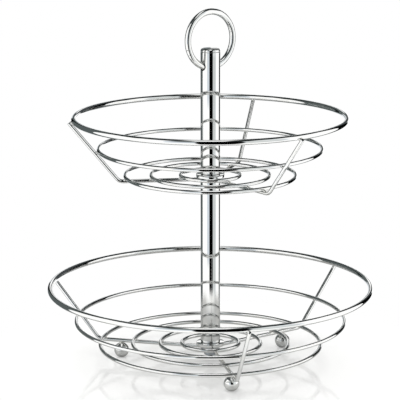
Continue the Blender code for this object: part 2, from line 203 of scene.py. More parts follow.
class Studio(bpy.types.PropertyGroup):
    """Table, light and camera."""
    table: colour_prop("Table", "White acrylic sheet", "#CDCDCB")
    table_radius: length_prop("Table radius", "Where the tabletop has faded away", 0.23)
    table_solid: length_prop("Solid radius", "Where the tabletop begins to fade", 0.155)
    table_gloss: share_prop("Table gloss", "Share of the tabletop's mirror shine", 0.14)
    table_cloud: length_prop("Table clouds", "Size of the cloudy patches in that shine", 0.11111)
    table_smooth: share_prop("Table roughness", "Roughness where that shine is sharpest", 0.04)
    table_rough: share_prop("Cloudy roughness", "Roughness where it is softest", 0.1)
    table_glow: share_prop("White point", "Lift of the table to plain white for the camera", 0.43)
    # Painted shade: under the stand the tabletop gets a smaller lift, so it shows darker there, fading
    # out between these radii
    table_shade: share_prop("Shaded white point", "The same, in the shade under the stand", 0.27)
    shade_inner: length_prop("Full shade", "Radius up to which the shade is full", 0.05)
    shade_outer: length_prop("Shade's edge", "Radius at which the shade has ended", 0.17)
    # Painted light: the table's front glows for glossy rays only, fading between these distances in
    # front of the column
    table_mirrored: share_prop("Mirrored lift", "Lift of the table's front in the plate", 0.8)
    mirrored_far: length_prop("Full lift", "Distance in front of the column with all that lift", 0.2)
    mirrored_near: length_prop("Lift's end", "Distance in front of the column with none of it", 0.06)
    white_strength: share_prop("White panels", "Strength of white panels and the overhead strip", 1.3)
    ambient: share_prop("Room light", "Strength of the light from all round", 0.55)
    backdrop: colour_prop("Backdrop", "Lit cloth low behind the stand", "#F2F6FA")
    pale_screen: colour_prop("Pale screen", "Cool cloth on both sides of the slot", "#E6EEF7")
    bright_screen: colour_prop("Bright screen", "Cloth between slot and right panel", "#F2F6F6")
    grey_screen: colour_prop("Grey screen", "Shaded band of that cloth, at table height", "#DBDFDF")
    screen_top: colour_prop("Screen top", "Unlit top of the cool cloth", "#8C9393")
    left_room: colour_prop("Room on the left", "Behind the left panel", "#5F6666")
    right_room: colour_prop("Room on the right", "Behind the right panel", "#4A4E50")
    right_low: colour_prop("Low on the right", "Below the table's height on the right", "#767A7A")
    ceiling: colour_prop("Ceiling", "Above the panels", "#343939")
    flag: colour_prop("Black flag", "Black cloth behind either panel", "#060707")
    slot: colour_prop("Slot", "The gap that the camera looks through", "#030303")
    overhead: FloatProperty(name="Overhead lamp", description="Power of the soft lamp overhead",
                            default=9, min=0, unit="POWER")
    overhead_size: length_prop("Lamp size", "Diameter of the soft lamp overhead", 1.1)
    overhead_place: place_prop("Lamp", "Place of the soft lamp overhead", (-0.15, -0.2, 1.3))
    camera_place: place_prop("Camera", "Place of the camera", (0, -1.7269, 0.5295))
    camera_pitch: angle_prop("Pitch", "How far the camera looks down", 0.2135)
    camera_yaw: angle_prop("Yaw", "How far the camera turns to the left", 0.0055)
    camera_roll: angle_prop("Roll", "How far the camera leans", -0.0011)
    focal_mm: FloatProperty(name="Focal length", description="In millimetres, on a 36 mm sensor",
                            default=174.0)


def settings():
    return bpy.context.scene.fruit_stand


class FruitStand(bpy.types.PropertyGroup):
    """All that a user can set."""
    wire: PointerProperty(type=WireSizes)
    weld: PointerProperty(type=WeldSizes)
    column: PointerProperty(type=ColumnSizes)
    finish: PointerProperty(type=Finishes)
    studio: PointerProperty(type=Studio)


def add_node(tree, kind, inputs=None, **options):
    """Add a node, set its options, and set or link its inputs."""
    made = tree.nodes.new(kind)
    for name, value in options.items():
        setattr(made, name, value)
    for socket, value in (inputs or {}).items():
        if isinstance(value, bpy.types.NodeSocket):
            tree.links.new(value, made.inputs[socket])
        else:
            made.inputs[socket].default_value = value
    return made


def start_material(name):
    """A material and its empty tree."""
    material = bpy.data.materials.new(name)
    material.use_nodes = True
    material.node_tree.nodes.clear()
    return material, material.node_tree


def chrome_material(name, drawn=False):
    """Decorative chromium over nickel, buffed before plating.

    It is a near-perfect mirror with a cool tint. Straightening leaves faint waves that make a
    reflection's edge wander, and wiping leaves patches of slightly softer shine. A drawn tube also
    has fine lines along it.
    """
    finish = settings().finish
    material, tree = start_material(name)
    place = add_node(tree, "ShaderNodeTexCoord").outputs["Object"]
    haze = add_node(tree, "ShaderNodeTexNoise", {
        "Vector": place, "Scale": 1 / finish.haze, "Detail": 3.0})
    colour = add_node(tree, "ShaderNodeMix", {
        "Factor": haze.outputs["Fac"], "A": opaque(finish.chrome), "B": opaque(finish.chrome_shade)},
        data_type="RGBA")
    roughness = add_node(tree, "ShaderNodeMapRange", {
        "Value": haze.outputs["Fac"], "From Min": HAZE_SPREAD[0], "From Max": HAZE_SPREAD[1],
        "To Min": finish.chrome_roughness * HAZE_ROUGHNESS[0],
        "To Max": finish.chrome_roughness * HAZE_ROUGHNESS[1]})
    ripple = add_node(tree, "ShaderNodeTexNoise", {
        "Vector": place, "Scale": 1 / finish.ripple_length, "Detail": 0.0})
    relief = add_node(tree, "ShaderNodeBump", {
        "Height": ripple.outputs["Fac"], "Strength": 1.0, "Distance": finish.ripple_height})
    if drawn:
        # Real lines are some hundredths of a millimetre apart: coarser here, so that they show
        stretched = add_node(tree, "ShaderNodeMapping", {
            "Vector": place, "Scale": (1, 1, finish.drawn_stretch)})
        lines = add_node(tree, "ShaderNodeTexNoise", {
            "Vector": stretched.outputs["Vector"], "Scale": 1 / finish.drawn_line, "Detail": 1.0})
        relief = add_node(tree, "ShaderNodeBump", {
            "Height": lines.outputs["Fac"], "Normal": relief.outputs["Normal"], "Strength": 1.0,
            "Distance": finish.drawn_depth})
    shader = add_node(tree, "ShaderNodeBsdfPrincipled", {
        "Base Color": colour.outputs["Result"], "Metallic": 1.0,
        "Roughness": roughness.outputs["Result"], "Normal": relief.outputs["Normal"]})
    add_node(tree, "ShaderNodeOutputMaterial", {"Surface": shader.outputs["BSDF"]})
    return material


def weld_material():
    """Chrome plate over a resistance weld: the same metal, but pebbled by the spatter below it."""
    finish = settings().finish
    material, tree = start_material("plated_weld")
    place = add_node(tree, "ShaderNodeTexCoord").outputs["Object"]
    pebbles = add_node(tree, "ShaderNodeTexNoise", {
        "Vector": place, "Scale": 1 / finish.pebble, "Detail": 3.0})
    relief = add_node(tree, "ShaderNodeBump", {
        "Height": pebbles.outputs["Fac"], "Strength": finish.pebble_relief,
        "Distance": finish.pebble_height})
    roughness = add_node(tree, "ShaderNodeMapRange", {
        "Value": pebbles.outputs["Fac"], "To Min": finish.weld_smooth, "To Max": finish.weld_rough})
    shader = add_node(tree, "ShaderNodeBsdfPrincipled", {
        "Base Color": opaque(finish.chrome_shade), "Metallic": 1.0,
        "Roughness": roughness.outputs["Result"], "Normal": relief.outputs["Normal"]})
    add_node(tree, "ShaderNodeOutputMaterial", {"Surface": shader.outputs["BSDF"]})
    return material


def zinc_material():
    """Bright zinc plate, passivated: satin grey with a faint blue and straw cast in patches."""
    finish = settings().finish
    material, tree = start_material("zinc_plated_steel")
    place = add_node(tree, "ShaderNodeTexCoord").outputs["Object"]
    patches = add_node(tree, "ShaderNodeTexNoise", {
        "Vector": place, "Scale": 1 / finish.zinc_patch, "Detail": 4.0})
    tint = add_node(tree, "ShaderNodeValToRGB", {"Fac": patches.outputs["Fac"]})
    casts = (finish.zinc_blue, finish.zinc_straw)
    for stop, position, cast in zip(tint.color_ramp.elements, CAST_SPREAD, casts):
        stop.position = position
        stop.color = opaque(cast)
    colour = add_node(tree, "ShaderNodeMix", {
        "Factor": finish.zinc_cast, "A": opaque(finish.zinc), "B": tint.outputs["Color"]},
        data_type="RGBA")
    # Real grain is some hundredths of a millimetre: coarser here, so that it shows
    grain = add_node(tree, "ShaderNodeTexNoise", {
        "Vector": place, "Scale": 1 / finish.zinc_grain, "Detail": 2.0})
    relief = add_node(tree, "ShaderNodeBump", {
        "Height": grain.outputs["Fac"], "Strength": finish.zinc_relief,
        "Distance": finish.zinc_grain_height})
    roughness = add_node(tree, "ShaderNodeMapRange", {
        "Value": patches.outputs["Fac"],
        "To Min": finish.zinc_roughness * (1 - finish.zinc_uneven),
        "To Max": finish.zinc_roughness * (1 + finish.zinc_uneven)})
    shader = add_node(tree, "ShaderNodeBsdfPrincipled", {
        "Base Color": colour.outputs["Result"], "Metallic": 1.0,
        "Roughness": roughness.outputs["Result"], "Normal": relief.outputs["Normal"]})
    add_node(tree, "ShaderNodeOutputMaterial", {"Surface": shader.outputs["BSDF"]})
    return material


MAKERS = {
    "bright_chrome_wire": lambda: chrome_material("bright_chrome_wire"),
    "bright_chrome_fittings": lambda: chrome_material("bright_chrome_fittings"),
    "bright_chrome_tube": lambda: chrome_material("bright_chrome_tube", drawn=True),
    "plated_weld": weld_material,
    "zinc_plated_steel": zinc_material,
}


def finish_named(name):
    return bpy.data.materials.get(name) or MAKERS[name]()


def add_object(shape, name, *materials):
    """Link a new object with a bmesh's shape. The bmesh is used up."""
    mesh = bpy.data.meshes.new(name)
    shape.to_mesh(mesh)
    shape.free()
    for material in materials:
        mesh.materials.append(material)
    made = bpy.data.objects.new(name, mesh)
    bpy.context.scene.collection.objects.link(made)
    return made


def add_piece(shape, name, material, body, replaced=()):
    """Make a smooth-shaded piece of the object from a bmesh, and have it ride on its body."""
    bmesh.ops.recalc_face_normals(shape, faces=shape.faces[:])
    piece = add_object(shape, name, finish_named(material))
    piece.data.shade_smooth()
    piece.data.set_sharp_from_angle(angle=SMOOTH_BELOW)
    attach(piece, body)
    if replaced:
        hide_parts(*replaced)
    return piece


def finished(node):
    return node + "_finished"


def add_section(shape, radius, sides, matrix):
    """The edges of a wire's round section, placed by a matrix."""
    made = bmesh.ops.create_circle(shape, cap_ends=False, segments=sides, radius=radius,
                                   matrix=matrix)
    return list({edge for vert in made["verts"] for edge in vert.link_edges})


def extend(shape, edges, offset):
    """Draw the section's edges out along a straight offset, and return the new end's edges."""
    made = bmesh.ops.extrude_edge_only(shape, edges=edges)["geom"]
    verts = [item for item in made if isinstance(item, bmesh.types.BMVert)]
    bmesh.ops.translate(shape, vec=offset, verts=verts)
    return [item for item in made if isinstance(item, bmesh.types.BMEdge) and item.is_boundary]


def turn(shape, edges, centre, axis, angle, steps):
    """Sweep the section's edges round an axis, and return the new end's edges."""
    made = bmesh.ops.spin(shape, geom=edges, cent=centre, axis=axis, angle=angle, steps=steps,
                          use_merge=False, use_duplicate=False)["geom_last"]
    return [item for item in made if isinstance(item, bmesh.types.BMEdge)]


def turn_full(shape, edges, steps):
    """Sweep edges once round the column's axis."""
    bmesh.ops.spin(shape, geom=edges, cent=(0, 0, 0), axis=(0, 0, 1), angle=2 * math.pi, steps=steps,
                   use_merge=True, use_duplicate=False)


def round_off(shape, edges, rounding):
    bmesh.ops.bevel(shape, geom=edges, offset=rounding, offset_type="OFFSET", segments=ROUND_STEPS,
                    profile=0.5, affect="EDGES", material=-1, clamp_overlap=True)


def round_sharp(shape, rounding, chosen=lambda edge: True):
    """Round those of the chosen edges that are sharp."""
    round_off(shape, [edge for edge in shape.edges if edge.is_manifold
                      and edge.calc_face_angle() > ROUND_ABOVE and chosen(edge)], rounding)


def close_ends(shape, rounding):
    """Cap a wire's two open ends and round their edges."""
    open_edges = [edge for edge in shape.edges if edge.is_boundary]
    bmesh.ops.holes_fill(shape, edges=open_edges, sides=0)
    round_off(shape, open_edges, rounding)


def ring_facts(node):
    """Centre line radius, wire radius and height of a ring in the frame."""
    low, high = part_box(node)
    wire = (high.z - low.z) / 2
    return high.x - wire, wire, (high.z + low.z) / 2


def leg_azimuth(node):
    """Azimuth of the upright plane that a leg or rib lies in."""
    total = Vector()
    for vert in NODES[node].data.vertices:
        total += vert.co
    return math.atan2(total.y, total.x)


class LegLine:
    """Centre line of a tier's legs as (radius, height): level run, bend and straight flank."""

    def __init__(self, tier):
        wire = settings().wire
        rim_radius, rim_wire, rim_height = ring_facts(tier + "_rim_ring")
        bottom_radius, self.wire, floor_height = ring_facts(tier + "_bottom_ring")
        self.run_height = floor_height - 2 * self.wire - wire.gap
        self.bend_centre = Vector((bottom_radius + wire.bend_past_ring,
                                   self.run_height + wire.bend_radius))
        rim = Vector((rim_radius, rim_height))
        stand_off = rim_wire + self.wire + wire.gap
        climb = rim - self.bend_centre
        past = math.asin((wire.bend_radius - stand_off) / climb.length)
        self.lean = math.atan2(climb.y, climb.x) + past
        self.along = Vector((math.cos(self.lean), math.sin(self.lean)))
        self.outward = Vector((math.sin(self.lean), -math.cos(self.lean)))
        self.flank_foot = self.bend_centre + self.outward * wire.bend_radius
        top = rim + self.outward * stand_off + self.along * wire.end_past_rim
        self.flank_length = (top - self.flank_foot).length

    def contact(self, ring):
        """Point between a ring and the leg, the leg's direction there, and the way out to it."""
        radius, ring_wire, height = ring_facts(ring)
        on_flank = height > self.bend_centre.y
        along, outward = (self.along, self.outward) if on_flank else (Vector((1, 0)), Vector((0, -1)))
        point = Vector((radius, height)) + outward * (ring_wire + settings().wire.gap / 2)
        return point, along, outward


def upright(point, azimuth):
    """A (radius, height) vector in the upright plane at an azimuth, as a 3D vector."""
    return Vector((point[0] * math.cos(azimuth), point[0] * math.sin(azimuth), point[1]))


def leg_axes(azimuth, along=(1, 0), outward=(0, 1)):
    """Directions along a leg, across it and away from it."""
    across = Vector((-math.sin(azimuth), math.cos(azimuth), 0))
    return upright(along, azimuth), across, upright(outward, azimuth)


def legs_of(tier):
    return sorted(n for n in NODES if n.startswith((tier + "_leg_", tier + "_rib_")))


def rings_of(tier):
    return sorted(n for n in NODES if n.startswith(tier) and "_ring" in n)


class STAND_OT_rings(bpy.types.Operator):
    """Make the hoops of both baskets, each a closed ring of round wire"""
    bl_idname = "fruit_stand.rings"
    bl_label = "Basket rings"

    def execute(self, context):
        wire = settings().wire
        for node in rings_of("lower") + rings_of("upper"):
            radius, wire_radius, height = ring_facts(node)
            shape = bmesh.new()
            place = Matrix.Translation((radius, 0, height)) @ Matrix.Rotation(math.pi / 2, 4, "X")
            section = add_section(shape, wire_radius, wire.section_sides, place)
            turn_full(shape, section, wire.ring_steps)
            add_piece(shape, finished(node), "bright_chrome_wire", STAND, [node])
        return {"FINISHED"}


class STAND_OT_legs(bpy.types.Operator):
    """Make the legs and ribs, each one wire bent once"""
    bl_idname = "fruit_stand.legs"
    bl_label = "Legs and ribs"

    def execute(self, context):
        wire = settings().wire
        run_end = settings().column.screw / 2 + wire.run_past_screw
        for tier in TIERS:
            line = LegLine(tier)
            inner = Matrix.Translation((run_end, 0, line.run_height))
            for node in legs_of(tier):
                shape = bmesh.new()
                section = add_section(shape, line.wire, wire.section_sides,
                                      inner @ Matrix.Rotation(math.pi / 2, 4, "Y"))
                section = extend(shape, section, (line.bend_centre.x - run_end, 0, 0))
                section = turn(shape, section, upright(line.bend_centre, 0), (0, -1, 0), line.lean,
                               wire.bend_steps)
                extend(shape, section, upright(line.along, 0) * line.flank_length)
                close_ends(shape, wire.end_round)
                bmesh.ops.rotate(shape, cent=(0, 0, 0), verts=shape.verts[:],
                                 matrix=Matrix.Rotation(leg_azimuth(node), 3, "Z"))
                add_piece(shape, finished(node), "bright_chrome_wire", STAND, [node])
        return {"FINISHED"}


def add_nugget(shape, centre, axes, sizes):
    """A smooth, slightly uneven lump of weld metal, with half sizes along three axes."""
    made = bmesh.ops.create_icosphere(shape, subdivisions=3, radius=1)
    grid = Matrix([axis * size for axis, size in zip(axes, sizes)]).transposed().to_4x4()
    place = Matrix.Translation(centre) @ grid
    for vert in made["verts"]:
        stray = noise.noise(vert.co * SWELL_WAVES + centre * SWELL_APART)
        vert.co = place @ (vert.co * (1 + settings().weld.swell * stray))


class STAND_OT_welds(bpy.types.Operator):
    """Bridge each crossing of two wires, each run under a hub disc and each ball with weld metal"""
    bl_idname = "fruit_stand.welds"
    bl_label = "Welds"

    def execute(self, context):
        weld = settings().weld
        for tier in TIERS:
            line = LegLine(tier)
            low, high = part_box(tier + "_hub_disc")
            under_disc = ((high.x + settings().column.screw_hole / 2) / 2, low.z)
            shape = bmesh.new()
            for node in legs_of(tier):
                azimuth = leg_azimuth(node)
                for ring in rings_of(tier):
                    point, along, outward = line.contact(ring)
                    reach = ring_facts(ring)[1] * weld.ring_share + line.wire * weld.leg_share
                    add_nugget(shape, upright(point, azimuth), leg_axes(azimuth, along, outward),
                               (reach, reach, reach * weld.flatness))
                add_nugget(shape, upright(under_disc, azimuth), leg_axes(azimuth), weld.disc)
            if tier == "lower":
                for name in ("front", "right", "left"):
                    low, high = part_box("ball_foot_" + name)
                    centre = Vector(((low.x + high.x) / 2, (low.y + high.y) / 2, high.z))
                    add_nugget(shape, centre, leg_axes(leg_azimuth("lower_leg_" + name)), weld.ball)
            add_piece(shape, tier + "_basket_welds", "plated_weld", STAND)
        return {"FINISHED"}


class STAND_OT_feet(bpy.types.Operator):
    """Make the ball feet, each with the small flat that it stands on"""
    bl_idname = "fruit_stand.feet"
    bl_label = "Ball feet"

    def execute(self, context):
        for node in sorted(n for n in NODES if n.startswith("ball_foot_")):
            low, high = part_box(node)
            radius = settings().wire.foot / 2
            centre = Vector(((low.x + high.x) / 2, (low.y + high.y) / 2, high.z - radius))
            shape = bmesh.new()
            bmesh.ops.create_uvsphere(shape, u_segments=BALL_STEPS[0], v_segments=BALL_STEPS[1],
                                      radius=radius, matrix=Matrix.Translation(centre))
            whole = shape.verts[:] + shape.edges[:] + shape.faces[:]
            sliced = bmesh.ops.bisect_plane(shape, geom=whole, plane_co=(0, 0, low.z),
                                            plane_no=(0, 0, -1), clear_outer=True)
            rim = [item for item in sliced["geom_cut"] if isinstance(item, bmesh.types.BMEdge)]
            bmesh.ops.holes_fill(shape, edges=rim, sides=0)
            add_piece(shape, finished(node), "bright_chrome_fittings", STAND, [node])
        return {"FINISHED"}


def turned(profile, rounding):
    """A turned body from the (radius, height) corners of its section, with rounded edges.

    The section is open where it starts and ends on the axis.
    """
    shape = bmesh.new()
    verts = [shape.verts.new((radius, 0, height)) for radius, height in profile]
    loop = verts if profile[0][0] == 0 else verts + verts[:1]
    edges = [shape.edges.new(pair) for pair in zip(loop, loop[1:])]
    turn_full(shape, edges, settings().column.turned_steps)
    bmesh.ops.remove_doubles(shape, verts=shape.verts[:], dist=MERGE_DISTANCE)
    bmesh.ops.recalc_face_normals(shape, faces=shape.faces[:])
    round_sharp(shape, rounding)
    return shape


def bored(node, bore):
    """A turned disc or tube that fills the node's box, with a bore of a given radius."""
    low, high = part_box(node)
    profile = [(bore, high.z), (high.x, high.z), (high.x, low.z), (bore, low.z)]
    return turned(profile, settings().column.edge_round)


def quarter_round(radius, height, size, upward):
    """Section points of a rounded corner, from its side up to its top or, with upward -1, down."""
    angles = [math.pi / 2 * i / CORNER_STEPS for i in range(CORNER_STEPS + 1)]
    return [(radius + size * math.cos(angle), height + upward * size * math.sin(angle))
            for angle in angles]


class STAND_OT_hub_discs(bpy.types.Operator):
    """Make the discs that the legs and ribs are welded to"""
    bl_idname = "fruit_stand.hub_discs"
    bl_label = "Hub discs"

    def execute(self, context):
        for tier in TIERS:
            node = tier + "_hub_disc"
            shape = bored(node, settings().column.screw_hole / 2)
            add_piece(shape, finished(node), "bright_chrome_fittings", STAND, [node])
        return {"FINISHED"}


class STAND_OT_tubes(bpy.types.Operator):
    """Make both tubes, the upper one drilled across for the handle"""
    bl_idname = "fruit_stand.tubes"
    bl_label = "Column tubes"

    def execute(self, context):
        column = settings().column
        for tier in TIERS:
            node = tier + "_tube"
            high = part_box(node)[1]
            shape = bored(node, high.x - column.wall)
            if tier == "upper":
                shape = drill_across(shape, high.z - column.hole_below_end, high.x)
            add_piece(shape, finished(node), "bright_chrome_tube", STAND, [node])
        return {"FINISHED"}


def cut_away(shape, cutter):
    """The first shape without what the second one covers. Both are used up."""
    blank = add_object(shape, "cut_blank")
    tool = add_object(cutter, "cut_tool")
    boolean = blank.modifiers.new("cut", "BOOLEAN")
    boolean.operation = "DIFFERENCE"
    boolean.solver = "EXACT"
    boolean.object = tool
    bpy.context.view_layer.update()
    result = bmesh.new()
    result.from_object(blank, bpy.context.evaluated_depsgraph_get())
    for used in (blank, tool):
        bpy.data.objects.remove(used)
    return result


def drill_across(shape, height, tube_radius):
    """Cut the handle's hole across the tube and round its edges."""
    column = settings().column
    radius = column.hole_diameter / 2
    # Cuts round the tube keep the faces at the hole short, so that they are shaded evenly
    for offset in (-2, -1, 1, 2):
        bmesh.ops.bisect_plane(shape, geom=shape.verts[:] + shape.edges[:] + shape.faces[:],
                               plane_co=(0, 0, height + offset * column.hole_diameter / 3),
                               plane_no=(0, 0, 1))
    drill = bmesh.new()
    place = Matrix.Translation((0, 0, height)) @ Matrix.Rotation(handle_azimuth(), 4, "Z")
    bmesh.ops.create_cone(drill, cap_ends=True, segments=HOLE_STEPS, radius1=radius, radius2=radius,
                          depth=tube_radius * 3, matrix=place @ Matrix.Rotation(math.pi / 2, 4, "Y"))
    result = cut_away(shape, drill)
    along = upright((1, 0), handle_azimuth())

    def on_hole(edge):
        middle = (edge.verts[0].co + edge.verts[1].co) / 2 - Vector((0, 0, height))
        return (middle - along * middle.dot(along)).length < radius + column.small_round

    round_sharp(result, column.small_round, on_hole)
    return result


def handle_azimuth():
    return math.atan2(HINGE["axis"][1], HINGE["axis"][0])


class STAND_OT_top_cap(bpy.types.Operator):
    """Make the stamped cap, with its rounded edge and the spigot that holds it in the tube"""
    bl_idname = "fruit_stand.top_cap"
    bl_label = "Top cap"

    def execute(self, context):
        column = settings().column
        low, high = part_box("tube_top_cap")
        seat = low.z + column.cap_spigot
        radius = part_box("upper_tube")[1].x
        spigot = radius - column.wall - settings().wire.gap
        inside = spigot - column.wall
        edge = quarter_round(radius - column.cap_edge, high.z - column.cap_edge, column.cap_edge, 1)
        profile = [(0, high.z)] + edge[::-1] + [
            (radius, seat), (spigot, seat), (spigot, low.z), (inside, low.z),
            (inside, high.z - column.wall), (0, high.z - column.wall)]
        shape = turned(profile, column.cap_seam)
        add_piece(shape, finished("tube_top_cap"), "bright_chrome_tube", STAND,
                  ["tube_top_cap"])
        return {"FINISHED"}


class STAND_OT_ring_handle(bpy.types.Operator):
    """Make the open hoop whose ends are sprung into the tube"""
    bl_idname = "fruit_stand.ring_handle"
    bl_label = "Ring handle"

    def execute(self, context):
        column = settings().column
        wire = settings().wire
        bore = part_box("upper_tube")[1].x - column.wall
        centre_height = HINGE["pos_m"][2] + math.sqrt(column.handle_radius ** 2 - bore ** 2)
        wire_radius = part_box("ring_handle")[1].z - centre_height - column.handle_radius
        gap_half = math.asin((bore - column.handle_end) / column.handle_radius)
        shape = bmesh.new()
        start = Matrix.Rotation(-gap_half, 4, "Y") @ Matrix.Translation((0, 0, -column.handle_radius))
        place = Matrix.Translation((0, 0, centre_height)) @ start @ Matrix.Rotation(math.pi / 2, 4, "Y")
        section = add_section(shape, wire_radius, column.handle_sides, place)
        turn(shape, section, (0, 0, centre_height), (0, -1, 0), 2 * math.pi - 2 * gap_half,
             wire.ring_steps)
        close_ends(shape, wire.end_round)
        bmesh.ops.rotate(shape, cent=(0, 0, 0), verts=shape.verts[:],
                         matrix=Matrix.Rotation(handle_azimuth(), 3, "Z"))
        add_piece(shape, finished("ring_handle"), "bright_chrome_wire", HANDLE,
                  ["ring_handle"])
        return {"FINISHED"}


class STAND_OT_fasteners(bpy.types.Operator):
    """Make the base screw and its washer, and give the hidden fasteners their zinc plate"""
    bl_idname = "fruit_stand.fasteners"
    bl_label = "Fasteners"

    def execute(self, context):
        column = settings().column
        shape = bored("base_washer", column.screw_hole / 2)
        add_piece(shape, finished("base_washer"), "zinc_plated_steel", STAND,
                  ["base_washer"])

        low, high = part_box("base_screw")
        shank, dome, seat = column.screw / 2, column.screw_head / 2, low.z + column.screw_head
        profile = [(0, high.z), (shank, high.z), (shank, seat), (high.x, seat)]
        profile += quarter_round(high.x - dome, low.z + dome, dome, -1) + [(0, low.z)]
        shape = turned(profile, column.small_round)
        slot = (column.recess_span, column.recess_width)
        for span in (slot, slot[::-1]):
            recess = bmesh.new()
            size = Matrix.Diagonal((*span, column.recess_depth * 2, 1))
            bmesh.ops.create_cube(recess, size=1, matrix=Matrix.Translation((0, 0, low.z)) @ size)
            shape = cut_away(shape, recess)
        add_piece(shape, finished("base_screw"), "zinc_plated_steel", STAND,
                  ["base_screw"])
        for node in ("joining_stud", "lower_tube_base_insert", "lower_tube_top_insert",
                     "upper_tube_base_insert"):
            for place in NODES[node].material_slots:
                place.material = finish_named("zinc_plated_steel")
        return {"FINISHED"}


def table_material():
    """White acrylic sheet with a soft mirror shine, fading out towards its edge. For the camera it is
    lifted to plain white, but less under the stand, which is painted shade, and its front glows in the
    plate, which is painted light.
    """
    studio = settings().studio
    material, tree = start_material("white_acrylic_table")
    path = add_node(tree, "ShaderNodeLightPath")
    place = add_node(tree, "ShaderNodeTexCoord").outputs["Object"]
    cloud = add_node(tree, "ShaderNodeTexNoise", {
        "Vector": place, "Scale": 1 / studio.table_cloud, "Detail": 2.0})
    roughness = add_node(tree, "ShaderNodeMapRange", {
        "Value": cloud.outputs["Fac"], "To Min": studio.table_smooth, "To Max": studio.table_rough})
    matt = add_node(tree, "ShaderNodeBsdfDiffuse", {"Color": opaque(studio.table)})
    gloss = add_node(tree, "ShaderNodeBsdfGlossy", {
        "Color": (1, 1, 1, 1), "Roughness": roughness.outputs["Result"]})
    sheet = add_node(tree, "ShaderNodeMixShader", {
        0: studio.table_gloss, 1: matt.outputs["BSDF"], 2: gloss.outputs["BSDF"]})
    depth = add_node(tree, "ShaderNodeSeparateXYZ", {0: place})
    # Painted light: the table's front glows for glossy rays only, so the plate mirrors it brighter
    # towards the front
    front = add_node(tree, "ShaderNodeMapRange", {
        "Value": depth.outputs["Y"], "From Min": -studio.mirrored_far,
        "From Max": -studio.mirrored_near, "To Min": studio.table_mirrored, "To Max": 0.0},
        interpolation_type="SMOOTHSTEP")
    distance = add_node(tree, "ShaderNodeVectorMath", {0: place}, operation="LENGTH")
    # Painted shade: the camera's lift to white is smaller near the stand's axis, so the tabletop shows
    # a darker patch under it
    shade = add_node(tree, "ShaderNodeMapRange", {
        "Value": distance.outputs["Value"], "From Min": studio.shade_inner,
        "From Max": studio.shade_outer, "To Min": studio.table_shade, "To Max": studio.table_glow},
        interpolation_type="SMOOTHSTEP")
    seen = add_node(tree, "ShaderNodeMath", {
        0: path.outputs["Is Camera Ray"], 1: shade.outputs["Result"]}, operation="MULTIPLY")
    lift = add_node(tree, "ShaderNodeMath", {
        0: path.outputs["Is Glossy Ray"], 1: front.outputs["Result"], 2: seen.outputs["Value"]},
        operation="MULTIPLY_ADD")
    glow = add_node(tree, "ShaderNodeEmission", {
        "Color": (1, 1, 1, 1), "Strength": lift.outputs["Value"]})
    whole = add_node(tree, "ShaderNodeAddShader", {
        0: sheet.outputs["Shader"], 1: glow.outputs["Emission"]})
    fade = add_node(tree, "ShaderNodeMapRange", {
        "Value": distance.outputs["Value"], "From Min": studio.table_solid,
        "From Max": studio.table_radius}, interpolation_type="SMOOTHSTEP")
    clear = add_node(tree, "ShaderNodeBsdfTransparent")
    faded = add_node(tree, "ShaderNodeMixShader", {
        0: fade.outputs["Result"], 1: whole.outputs["Shader"], 2: clear.outputs["BSDF"]})
    add_node(tree, "ShaderNodeOutputMaterial", {"Surface": faded.outputs["Shader"]})
    return material


def white_light():
    return (settings().studio.white_strength,) * 3


